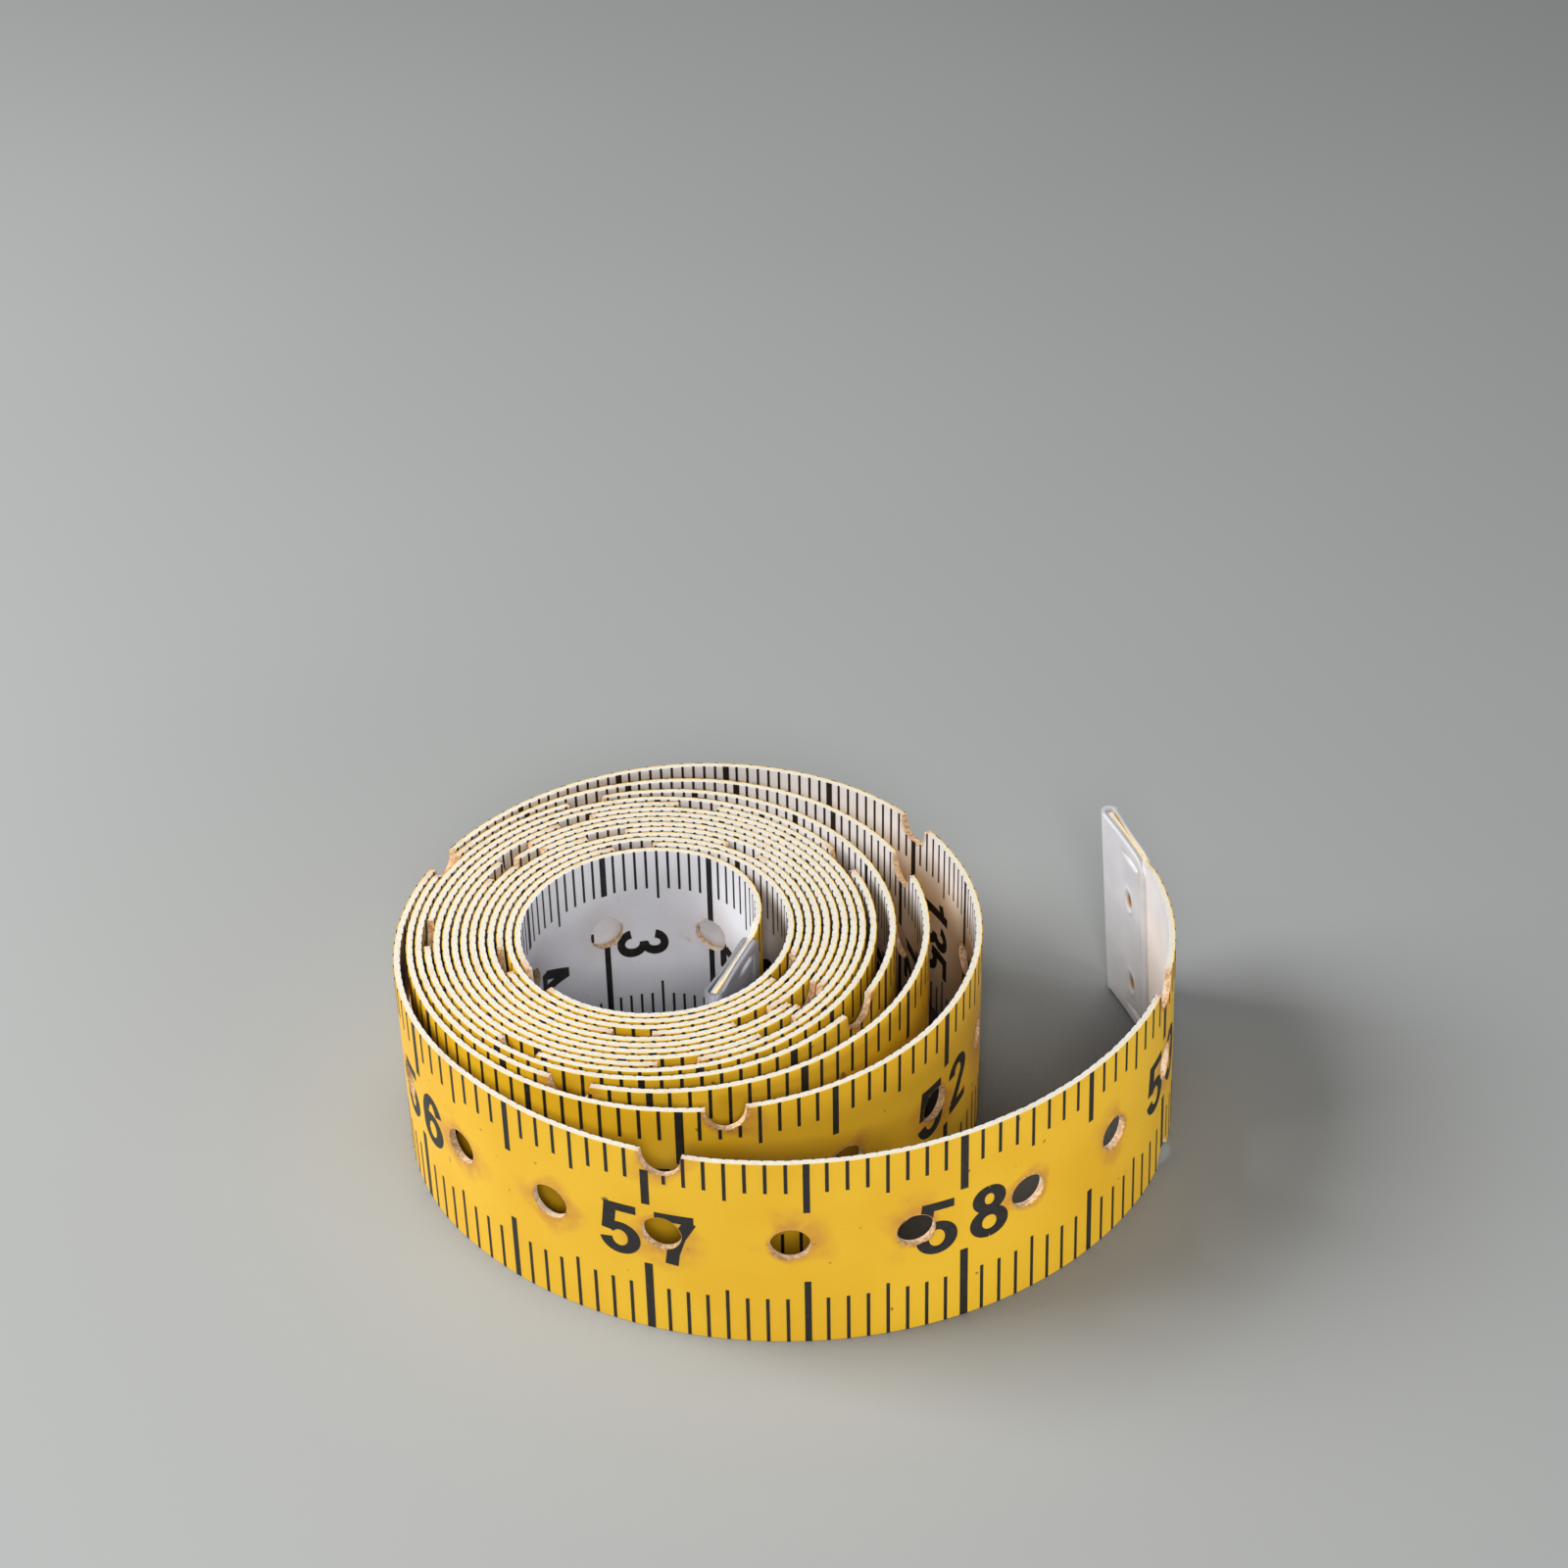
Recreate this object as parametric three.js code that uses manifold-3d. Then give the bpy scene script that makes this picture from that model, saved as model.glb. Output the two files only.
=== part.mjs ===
// Tailor's tape measure, wound into a loose coil that stands on its lower edge with its outer end free.
// Lengths are in millimetres. +Z is up, z = 0 is the surface the tape stands on, and +X is its long side.
import * as THREE from "three";
import Module from "manifold-3d";

const manifold = await Module();
manifold.setup();

const DEG = Math.PI / 180;

// Ribbon: a woven glass cloth core between two vinyl coats.
const TAPE_LENGTH = 1525;
const TAPE_WIDTH = 18.8;
const CORE_THICKNESS = 0.15;
const COAT_THICKNESS = 0.08;
const TAPE_THICKNESS = CORE_THICKNESS + 2 * COAT_THICKNESS;

// End clips: one bright sheet folded round each end.
const CLIP_LENGTH = 8.4;
const CLIP_SHEET = 0.4;
const CLIP_EDGE_GAP = 0.2;
const CLIP_HEIGHT = TAPE_WIDTH - 2 * CLIP_EDGE_GAP;
const CLIP_CORNER = 1.6;
const CLIP_FOLD_CORNER = 0.4;
const CLIP_NOSE = TAPE_THICKNESS / 2 + CLIP_SHEET;
const CLOTH_CLEARANCE = 0.3;
const CLOTH_SET_BACK = CLIP_SHEET + CLOTH_CLEARANCE;
const DENT_RADIUS = 0.8;
const DENT_DEPTH = 0.5 * CLIP_SHEET;
const DENT_HEIGHTS = [0.2, 0.62];
const DENT_REACH = 0.565 * CLIP_LENGTH;
const CLIP_LEAD_LENGTH = 0.4;
const CLIP_STRAIGHT = CLIP_LENGTH + CLIP_LEAD_LENGTH;

// Coil: turns at an even pitch round the eye, the outer ones slack towards one side.
const EYE_RADIUS = 11.2;
const TURN_GAP = 0.45;
const TURN_PITCH = TAPE_THICKNESS + TURN_GAP;
const STEPS_PER_TURN = 22;
const LEAVE_ANGLE = 147.6 * DEG;
const SLACK_TURNS = 4.35;
const SLACK_WIDTH = 8.9;
const SLACK_ANGLE = -5 * DEG;
const SLACK_RISE = 2.67;
const SLACK_SPREAD = 1.43;
const START_BEND_INSET = 2.32;
const START_BEND_RADIUS = EYE_RADIUS - START_BEND_INSET;
const START_BEND_LENGTH = 16.4;

// Free end: three bends, each one tangent to the one before, then a straight stretch in the clip.
const FIRST_BEND_RADIUS = 24.9;
const FIRST_BEND_LENGTH = 30.1;
const SECOND_BEND_RADIUS = 34.5;
const SECOND_BEND_LENGTH = 64.3;
const THIRD_BEND_RADIUS = 26.3;
const THIRD_BEND_LENGTH = 23.8;
const TAIL_BENDS = [
  { radius: FIRST_BEND_RADIUS, length: FIRST_BEND_LENGTH },
  { radius: SECOND_BEND_RADIUS, length: SECOND_BEND_LENGTH },
  { radius: THIRD_BEND_RADIUS, length: THIRD_BEND_LENGTH },
];

// Perforations at each centimetre, with a notch in the upper edge at each fifth one. The free end is bare.
const HOLE_RADIUS = 1.6;
const HOLE_SPACING = 10;
const HOLE_SET_BACK = 0.9;
const BARE_END = 16;
const HOLE_HEIGHT = 0.555 * TAPE_WIDTH;
const HOLE_STEPS = 4;
const NOTCH_RADIUS = 1.65;
const NOTCH_DEPTH = 2;
const NOTCH_SPACING = 5 * HOLE_SPACING;
const EDGE_CLEARANCE = 0.6;
const STEP_SHARE = 0.42;

// The free end is cut into links, each hinged to the next about an upright line in the slit between them.
// A link carries two perforations, the last one only the bare end, and a slit lies halfway between two.
const LINK_COUNT = 5;
const SLIT_WIDTH = 0.3;
const LINK_LENGTH = 2 * HOLE_SPACING;
const LAST_HOLE_LIMIT = TAPE_LENGTH - BARE_END - HOLE_RADIUS - EDGE_CLEARANCE;
const LAST_HOLE = Math.floor((LAST_HOLE_LIMIT + HOLE_SET_BACK) / HOLE_SPACING);
const LAST_SLIT = HOLE_SPACING * (LAST_HOLE + 0.5) - HOLE_SET_BACK;
const FIRST_SLIT = LAST_SLIT - (LINK_COUNT - 1) * LINK_LENGTH;

const TAIL_LENGTH = TAIL_BENDS.reduce((sum, bend) => sum + bend.length, CLIP_STRAIGHT);
const START_LENGTH = START_BEND_LENGTH + CLIP_STRAIGHT;
const COIL_LENGTH = TAPE_LENGTH - TAIL_LENGTH - START_LENGTH;

// Radius of the centreline, by turns counted back from the point where the free end leaves the coil.
function coilRadius(back, turns) {
  const facing = (1 + Math.cos(LEAVE_ANGLE - 2 * Math.PI * back - SLACK_ANGLE)) / 2;
  const slack = Math.max(0, 1 - back / SLACK_TURNS);
  const growth = SLACK_WIDTH * slack ** SLACK_RISE * facing ** SLACK_SPREAD;
  return EYE_RADIUS + TURN_PITCH * (turns - back) + growth;
}

// A point of the coil's centreline with its heading, towards the free end.
function coilPoint(back, turns) {
  const angle = LEAVE_ANGLE - 2 * Math.PI * back;
  const radius = coilRadius(back, turns);
  const small = 1e-4;
  const change = coilRadius(back - small, turns) - coilRadius(back + small, turns);
  const slope = change / (4 * Math.PI * small);
  const heading = angle + Math.PI / 2 - Math.atan2(slope, radius);
  return { x: radius * Math.cos(angle), y: radius * Math.sin(angle), heading };
}

function coilLength(turns) {
  const steps = Math.ceil(turns * 90);
  let length = 0;
  let last = coilPoint(turns, turns);
  for (let i = 1; i <= steps; i++) {
    const next = coilPoint(turns * (1 - i / steps), turns);
    length += Math.hypot(next.x - last.x, next.y - last.y);
    last = next;
  }
  return length;
}

// The number of turns that uses up the tape, found by halving.
function turnsFor(length) {
  let low = 1;
  let high = 40;
  for (let i = 0; i < 50; i++) {
    const middle = (low + high) / 2;
    if (coilLength(middle) < length) low = middle;
    else high = middle;
  }
  return (low + high) / 2;
}

const TURNS = turnsFor(COIL_LENGTH);

// The point a distance along an arc from a start point. An infinite radius gives a straight line.
function along(start, radius, distance) {
  const { x, y, heading } = start;
  if (!Number.isFinite(radius)) {
    return { x: x + distance * Math.cos(heading), y: y + distance * Math.sin(heading), heading };
  }
  const turned = heading + distance / radius;
  const dx = radius * (Math.sin(turned) - Math.sin(heading));
  const dy = radius * (Math.cos(heading) - Math.cos(turned));
  return { x: x + dx, y: y + dy, heading: turned };
}

// The point of the free end at a distance along the tape.
function tailPoint(s) {
  let point = coilPoint(0, TURNS);
  let left = s - (TAPE_LENGTH - TAIL_LENGTH);
  for (const bend of TAIL_BENDS) {
    const step = Math.min(left, bend.length);
    point = along(point, bend.radius, step);
    left -= step;
  }
  return along(point, Infinity, left);
}

// The point of the inner end at a distance along the tape, walked back from the first turn.
function startPoint(s) {
  const first = coilPoint(TURNS, TURNS);
  const walked = START_LENGTH - s;
  const bent = along(first, START_BEND_RADIUS, -Math.min(walked, START_BEND_LENGTH));
  return along(bent, Infinity, -Math.max(0, walked - START_BEND_LENGTH));
}

// How far a place lies from the nearest mark of a row with an even spacing.
function fromMark(s, spacing) {
  const counted = s + HOLE_SET_BACK;
  return counted - spacing * Math.round(counted / spacing);
}

// Half the height of the opening that a perforation leaves at a distance along the tape.
function holeHalf(s) {
  const offset = fromMark(s, HOLE_SPACING);
  return Math.sqrt(Math.max(0, HOLE_RADIUS ** 2 - offset ** 2));
}

// How far a notch lowers the upper edge at a distance along the tape.
function notchDepth(s) {
  const offset = fromMark(s, NOTCH_SPACING);
  return NOTCH_DEPTH * Math.sqrt(Math.max(0, 1 - (offset / NOTCH_RADIUS) ** 2));
}

// A column of the ribbon: its place on the centreline and the heights of its edges and of any opening.
function column(s, point, mark = {}) {
  const normal = { x: Math.sin(point.heading), y: -Math.cos(point.heading) };
  const made = { s, x: point.x, y: point.y, normal, low: null, high: null };
  made.top = TAPE_WIDTH - (mark.notch ? notchDepth(s) : 0);
  if (mark.hole) {
    made.low = HOLE_HEIGHT - (mark.rim ? 0 : holeHalf(s));
    made.high = HOLE_HEIGHT + (mark.rim ? 0 : holeHalf(s));
  }
  return made;
}

// Centres of the perforations, or of the notches, that lie clear of both ends of a stretch.
function marksBetween(from, to, spacing, radius) {
  const centres = [];
  const first = Math.ceil((from + HOLE_SET_BACK + radius + EDGE_CLEARANCE) / spacing);
  const last = Math.floor((to + HOLE_SET_BACK - radius - EDGE_CLEARANCE) / spacing);
  for (let i = first; i <= last; i++) centres.push(i * spacing - HOLE_SET_BACK);
  return centres;
}

// Columns of a stretch of the free end, with the columns that its perforations and notches need.
function tailColumns(from, to) {
  const marks = new Map();
  const note = (s, mark) => marks.set(s.toFixed(3), { ...marks.get(s.toFixed(3)), ...mark, s });
  const end = Math.min(to, TAPE_LENGTH - BARE_END);
  const holes = marksBetween(from, end, HOLE_SPACING, HOLE_RADIUS);
  const notches = marksBetween(from, end, NOTCH_SPACING, NOTCH_RADIUS);
  const inside = (s, centres, radius) => centres.some((c) => Math.abs(s - c) < radius - 1e-6);
  for (const centre of holes) {
    for (let i = 0; i <= HOLE_STEPS; i++) {
      note(centre - HOLE_RADIUS * Math.cos((Math.PI * i) / HOLE_STEPS), { hole: true });
    }
  }
  for (const centre of notches) {
    note(centre - NOTCH_RADIUS, {});
    note(centre + NOTCH_RADIUS, {});
  }
  note(from, {});
  note(to, {});
  const known = [...marks.values()].sort((a, b) => a.s - b.s);
  for (let i = 1; i < known.length; i++) {
    const pieces = Math.ceil((known[i].s - known[i - 1].s) / (STEP_SHARE * HOLE_SPACING));
    for (let k = 1; k < pieces; k++) {
      note(known[i - 1].s + ((known[i].s - known[i - 1].s) * k) / pieces, {});
    }
  }
  return [...marks.values()]
    .sort((a, b) => a.s - b.s)
    .map((mark) =>
      column(mark.s, tailPoint(mark.s), {
        hole: mark.hole,
        rim: !inside(mark.s, holes, HOLE_RADIUS),
        notch: inside(mark.s, notches, NOTCH_RADIUS),
      }),
    );
}

// Columns from the inner end, round the turns, to the first slit.
function coilColumns(end) {
  const columns = [column(CLOTH_SET_BACK, startPoint(CLOTH_SET_BACK))];
  const bendSteps = Math.ceil((START_BEND_LENGTH / START_BEND_RADIUS / 2 / Math.PI) * STEPS_PER_TURN);
  for (let i = 0; i < bendSteps; i++) {
    const s = CLIP_STRAIGHT + (START_BEND_LENGTH * i) / bendSteps;
    columns.push(column(s, startPoint(s)));
  }
  let last = coilPoint(TURNS, TURNS);
  let s = START_LENGTH;
  columns.push(column(s, last));
  const steps = Math.floor(TURNS * STEPS_PER_TURN - 0.1);
  for (let i = 1; i <= steps; i++) {
    const next = coilPoint(TURNS - i / STEPS_PER_TURN, TURNS);
    s += Math.hypot(next.x - last.x, next.y - last.y);
    columns.push(column(s, next));
    last = next;
  }
  return columns.concat(tailColumns(TAPE_LENGTH - TAIL_LENGTH, end));
}

// A closed solid of the ribbon between two offsets from its centreline, as triangles.
function ribbon(columns, inside, outside) {
  const position = [];
  const at = (c, offset, z) => [c.x + offset * c.normal.x, c.y + offset * c.normal.y, z];
  const triangle = (a, b, c) => position.push(...a, ...b, ...c);
  const quad = (a, b, c, d) => {
    triangle(a, b, c);
    triangle(a, c, d);
  };
  const face = (a, b, offset, turn) => {
    const tri = turn ? (p, q, r) => triangle(p, r, q) : triangle;
    const four = turn ? (p, q, r, t) => quad(p, t, r, q) : quad;
    const v = (c, z) => at(c, offset, z);
    if (a.low === null && b.low === null) {
      four(v(a, 0), v(b, 0), v(b, b.top), v(a, a.top));
    } else if (a.low === null) {
      tri(v(a, 0), v(b, 0), v(b, b.low));
      tri(v(a, 0), v(b, b.low), v(a, a.top));
      tri(v(b, b.low), v(b, b.top), v(a, a.top));
    } else if (b.low === null) {
      tri(v(a, 0), v(b, 0), v(a, a.low));
      tri(v(a, a.low), v(b, 0), v(b, b.top));
      tri(v(a, a.low), v(b, b.top), v(a, a.top));
    } else {
      four(v(a, 0), v(b, 0), v(b, b.low), v(a, a.low));
      four(v(a, a.high), v(b, b.high), v(b, b.top), v(a, a.top));
    }
  };
  const upward = (a, za, b, zb) =>
    quad(at(a, outside, za), at(b, outside, zb), at(b, inside, zb), at(a, inside, za));
  const downward = (a, za, b, zb) =>
    quad(at(a, outside, za), at(a, inside, za), at(b, inside, zb), at(b, outside, zb));
  for (let i = 1; i < columns.length; i++) {
    const a = columns[i - 1];
    const b = columns[i];
    face(a, b, outside, false);
    face(a, b, inside, true);
    downward(a, 0, b, 0);
    upward(a, a.top, b, b.top);
    if (a.low < a.high || b.low < b.high) {
      upward(a, a.low, b, b.low);
      downward(a, a.high, b, b.high);
    }
  }
  const cap = (c, first) => {
    const corners = [at(c, outside, 0), at(c, outside, c.top), at(c, inside, c.top), at(c, inside, 0)];
    quad(...(first ? corners : corners.reverse()));
  };
  cap(columns[0], true);
  cap(columns[columns.length - 1], false);
  const geometry = new THREE.BufferGeometry();
  geometry.setAttribute("position", new THREE.Float32BufferAttribute(position, 3));
  return geometry;
}

function solidOf(geometry) {
  const source = geometry.index ? geometry.toNonIndexed() : geometry;
  const points = source.getAttribute("position").array;
  const keys = new Map();
  const vertices = [];
  const triangles = [];
  for (let i = 0; i < points.length; i += 3) {
    const key = [0, 1, 2].map((k) => points[i + k].toFixed(5)).join(" ");
    if (!keys.has(key)) {
      keys.set(key, keys.size);
      vertices.push(points[i], points[i + 1], points[i + 2]);
    }
    triangles.push(keys.get(key));
  }
  return new manifold.Manifold(
    new manifold.Mesh({
      numProp: 3,
      vertProperties: new Float32Array(vertices),
      triVerts: new Uint32Array(triangles),
    }),
  );
}

function geometryOf(solid) {
  const mesh = solid.getMesh();
  const geometry = new THREE.BufferGeometry();
  geometry.setAttribute("position", new THREE.Float32BufferAttribute(mesh.vertProperties, 3));
  geometry.setIndex(new THREE.BufferAttribute(mesh.triVerts, 1));
  return geometry;
}

// A clip in its own frame: the fold is at x = 0 and the two leaves reach back along -X.
function clipGeometry() {
  const half = TAPE_THICKNESS / 2;
  const section = new THREE.Shape();
  section.moveTo(-CLIP_LENGTH, half);
  section.lineTo(-CLIP_SHEET, half);
  section.lineTo(-CLIP_SHEET, -half);
  section.lineTo(-CLIP_LENGTH, -half);
  section.lineTo(-CLIP_LENGTH, -CLIP_NOSE);
  section.lineTo(-CLIP_NOSE, -CLIP_NOSE);
  section.absarc(-CLIP_NOSE, 0, CLIP_NOSE, -Math.PI / 2, Math.PI / 2, false);
  section.lineTo(-CLIP_LENGTH, CLIP_NOSE);
  const folded = new THREE.ExtrudeGeometry(section, {
    depth: CLIP_HEIGHT,
    bevelEnabled: false,
    curveSegments: 8,
  });
  const outline = new THREE.Shape();
  const r = CLIP_CORNER;
  const fold = CLIP_FOLD_CORNER;
  outline.absarc(-fold, fold, fold, -Math.PI / 2, 0, false);
  outline.absarc(-fold, CLIP_HEIGHT - fold, fold, 0, Math.PI / 2, false);
  outline.absarc(r - CLIP_LENGTH, CLIP_HEIGHT - r, r, Math.PI / 2, Math.PI, false);
  outline.absarc(r - CLIP_LENGTH, r, r, Math.PI, 1.5 * Math.PI, false);
  const block = new THREE.ExtrudeGeometry(outline, {
    depth: 4 * CLIP_NOSE,
    bevelEnabled: false,
    curveSegments: 6,
  });
  block.rotateX(Math.PI / 2);
  block.translate(0, 2 * CLIP_NOSE, 0);
  let clip = solidOf(folded).intersect(solidOf(block));
  for (const side of [-1, 1]) {
    for (const share of DENT_HEIGHTS) {
      const dent = new THREE.ConeGeometry(2 * DENT_RADIUS, 2 * DENT_DEPTH, 12);
      dent.rotateX(side < 0 ? 0 : Math.PI);
      dent.translate(-DENT_REACH, side * CLIP_NOSE, share * CLIP_HEIGHT);
      clip = clip.subtract(solidOf(dent));
    }
  }
  const geometry = geometryOf(clip);
  geometry.translate(0, 0, CLIP_EDGE_GAP);
  return geometry;
}

// The least distance in plan from a point of the tape to the turns that pass it.
function distanceToTurns(point, columns) {
  let least = Infinity;
  for (let i = 1; i < columns.length; i++) {
    const a = columns[i - 1];
    const b = columns[i];
    if (Math.abs(point.s - a.s) < 3 * EYE_RADIUS) continue;
    const dx = b.x - a.x;
    const dy = b.y - a.y;
    const share = ((point.x - a.x) * dx + (point.y - a.y) * dy) / (dx * dx + dy * dy);
    const t = Math.min(1, Math.max(0, share));
    least = Math.min(least, Math.hypot(point.x - a.x - t * dx, point.y - a.y - t * dy));
  }
  return least;
}

// The least gap between the faces of two turns.
function turnGap(columns) {
  return Math.min(...columns.map((point) => distanceToTurns(point, columns))) - TAPE_THICKNESS;
}

// The least gap between the inner clip and the turn round it, measured from the rounded end of its fold.
function clipGap(columns) {
  const fold = { ...startPoint(CLIP_NOSE), s: CLIP_NOSE };
  return distanceToTurns(fold, columns) - TAPE_THICKNESS / 2 - CLIP_NOSE;
}

const YELLOW = { color: 0xefbd45, roughness: 0.45, metalness: 0 };
const WHITE = { color: 0xe9e3da, roughness: 0.5, metalness: 0 };
const CLOTH = { color: 0xece5d3, roughness: 0.85, metalness: 0 };
const BRIGHT = { color: 0xc8c8c3, roughness: 0.25, metalness: 1 };

const tape = new THREE.Group();

function add(name, geometry, look) {
  const mesh = new THREE.Mesh(geometry, new THREE.MeshStandardMaterial(look));
  mesh.name = name;
  tape.add(mesh);
  return mesh;
}

// The three layers of one stretch of the ribbon, which share their faces.
function addLayers(names, columns) {
  const core = CORE_THICKNESS / 2;
  const skin = core + COAT_THICKNESS;
  add(names.core, ribbon(columns, -core, core), CLOTH);
  add(names.yellow, ribbon(columns, core, skin), YELLOW);
  add(names.white, ribbon(columns, -skin, -core), WHITE);
}

function addClip(name, point, turned) {
  const clip = clipGeometry();
  clip.rotateZ(point.heading + (turned ? Math.PI : 0));
  clip.translate(point.x, point.y, 0);
  add(name, clip, BRIGHT);
}

const wound = coilColumns(FIRST_SLIT - SLIT_WIDTH / 2);
addLayers({ core: "coil_core", yellow: "coil_yellow_coat", white: "coil_white_coat" }, wound);

const free = [];
for (let i = 0; i < LINK_COUNT; i++) {
  const from = FIRST_SLIT + i * LINK_LENGTH + SLIT_WIDTH / 2;
  const last = i === LINK_COUNT - 1;
  const to = last ? TAPE_LENGTH - CLOTH_SET_BACK : from + LINK_LENGTH - SLIT_WIDTH;
  const columns = tailColumns(from, to);
  const names = { core: `tail_core_${i + 1}`, yellow: `tail_yellow_coat_${i + 1}` };
  addLayers({ ...names, white: `tail_white_coat_${i + 1}` }, columns);
  free.push(...columns);
}

addClip("inner_clip", startPoint(0), true);
addClip("outer_clip", tailPoint(TAPE_LENGTH), false);

// The middle of the base comes to the origin.
const bounds = new THREE.Box3().setFromObject(tape);
const middle = bounds.getCenter(new THREE.Vector3());
for (const mesh of tape.children) mesh.geometry.translate(-middle.x, -middle.y, 0);

const gaps = [turnGap(wound.concat(free)), clipGap(wound)].map((gap) => gap.toFixed(3));
console.log(`${TURNS.toFixed(3)} turns, least gap of turns ${gaps[0]} mm, of the inner clip ${gaps[1]} mm`);

export default tape;
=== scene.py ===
"""A tailor's tape measure: a printed vinyl and cloth ribbon wound into a loose coil, with a clip on
each end.

Sizes are in millimetres until a mesh is made. s is the distance along the ribbon from its inner
end.
"""

import bpy
import numpy as np
from mathutils import Matrix, Vector
from mathutils.geometry import delaunay_2d_cdt


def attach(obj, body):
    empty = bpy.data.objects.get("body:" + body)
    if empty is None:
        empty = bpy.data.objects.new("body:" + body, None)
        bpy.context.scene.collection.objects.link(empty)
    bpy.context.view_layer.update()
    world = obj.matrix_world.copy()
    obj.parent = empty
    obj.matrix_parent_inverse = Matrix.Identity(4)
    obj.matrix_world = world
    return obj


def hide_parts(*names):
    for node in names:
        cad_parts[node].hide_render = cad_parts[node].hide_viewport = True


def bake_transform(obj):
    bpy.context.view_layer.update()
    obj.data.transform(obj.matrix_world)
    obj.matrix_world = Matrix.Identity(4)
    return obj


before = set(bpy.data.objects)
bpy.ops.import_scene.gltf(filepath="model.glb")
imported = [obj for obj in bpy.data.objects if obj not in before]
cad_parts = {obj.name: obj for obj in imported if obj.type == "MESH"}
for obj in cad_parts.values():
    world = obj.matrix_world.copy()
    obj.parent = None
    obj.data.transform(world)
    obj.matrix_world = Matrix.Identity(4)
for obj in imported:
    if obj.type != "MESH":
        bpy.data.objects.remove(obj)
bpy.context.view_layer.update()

MM = 0.001

# Ribbon: half its thickness without and with the vinyl, and the wear of its upper edge
TAPE_LENGTH = 1525.0
TAPE_WIDTH = 18.8
CLOTH_HALF = 0.205
TAPE_HALF = 0.285
CLOTH_SET_BACK = 0.7
UPPER_TRIM = 0.03
EDGE_WEAR = 0.018
WEAR_PHASE = 0.4

# Coil, with its centre in the part's frame
COIL_CENTRE = np.array([-11.2499, 2.8470])
CLIP_STRAIGHT = 8.8
EYE_RADIUS = 11.2
TURN_PITCH = 0.76
LEAVE_ANGLE = np.radians(147.6)
SLACK_TURNS = 4.35
SLACK_WIDTH = 8.9
SLACK_ANGLE = np.radians(-5.0)
SLACK_RISE = 2.67
SLACK_SPREAD = 1.43
START_BEND_RADIUS = 8.88
START_BEND_LENGTH = 16.4
START_LENGTH = START_BEND_LENGTH + CLIP_STRAIGHT
CHORDS_PER_TURN = 90
PATH_POINTS = 40000

# Free end: radius and length of each bend
TAIL_BENDS = ((24.9, 30.1), (34.5, 64.3), (26.3, 23.8))
COIL_END = TAPE_LENGTH - CLIP_STRAIGHT - sum(length for _, length in TAIL_BENDS)

# Lean of the free end, whose lower edge stands further out, and slant of its cut, which is set back
# at the foot
SPLAY = 0.65
SPLAY_START = 1440.0
SPLAY_REACH = 50.0
SLANT = 2.1

# Stretches of the ribbon: the coil, one across each hinge, and the end in the clip. The seams lie
# halfway between the hinges, and columns of the mesh are no further apart than the longest
LONGEST_COLUMN = 0.7
FIRST_SEAM = 1414.1
SEAM_STEP = 20.0
HINGES = 5
LAST_SEAM = FIRST_SEAM + HINGES * SEAM_STEP

# Perforations and notches, at each centimetre as the scale measures on the worn ribbon
SCALE = 0.9985
HOLE_SPACING = 10.0 * SCALE
HOLE_RADIUS = 1.6
HOLE_HEIGHT = 0.555 * TAPE_WIDTH
ROW_START = 1.35
FIRST_HOLE = 2
LAST_HOLE = 150
LEAST_HOLE = 0.02
HOLES_PER_NOTCH = 5
LAST_NOTCH = LAST_HOLE // HOLES_PER_NOTCH
NOTCH_SPACING = HOLES_PER_NOTCH * HOLE_SPACING
NOTCH_HALF = 1.65
NOTCH_DEPTH = 2.05
NOTCH_POWER = 2.4
LOWER_NOTCH = 1499.1
LOWER_NOTCH_SHARE = 0.7
OPENING_STEPS = 15
SEAM_CLEARANCE = 0.05

# Print: ink that stands a little proud of the vinyl, cut into columns and clear of the perforations
INK_LIFT = 0.018
INK_SINK = 0.04
INK_COLUMN = 0.6
INK_MARGIN = 0.3
RIM_SHARE = 1.03
RIM_POINTS = 32
NUMBER_REACH = 6.0

# Inch face, with bars at the inches, halves, quarters and the sixteenths between
INCH = 25.4 * SCALE
INCH_COUNT = 60
INCH_PARTS = 16
INCH_START = 2.24
FIRST_INCH_BAR = 4
INCH_BAR_WIDTHS = (0.68, 0.54, 0.29, 0.29)
INCH_UPPER_BARS = (5.4, 5.0, 3.85, 2.95)
INCH_LOWER_BARS = (7.05, 6.5, 5.4, 4.65)
INCH_NUMBER = 5.4
INCH_PITCH = 0.825
INCH_FOOT = 7.42

# Centimetre face, with lines at the centimetres and bars at the halves and the millimetres between
FIRST_MILLIMETRE = 10
CENTIMETRE_WIDTH = 0.57
MILLIMETRE_WIDTH = 0.23
HALF_UPPER_BAR, MILLIMETRE_UPPER_BAR = 5.2, 4.1
HALF_LOWER_BAR, MILLIMETRE_LOWER_BAR = 4.2, 2.8
LINE_OVERLAP = 0.02
SHORT_LINES = (30, 60)
SHORT_LINE = 4.2
FIRST_CENTIMETRE_NUMBER = 2
CENTIMETRE_NUMBER = 4.8
CENTIMETRE_PITCH = 0.6
CENTIMETRE_HEIGHT = 8.6
CENTIMETRE_GAP = 0.95

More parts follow.
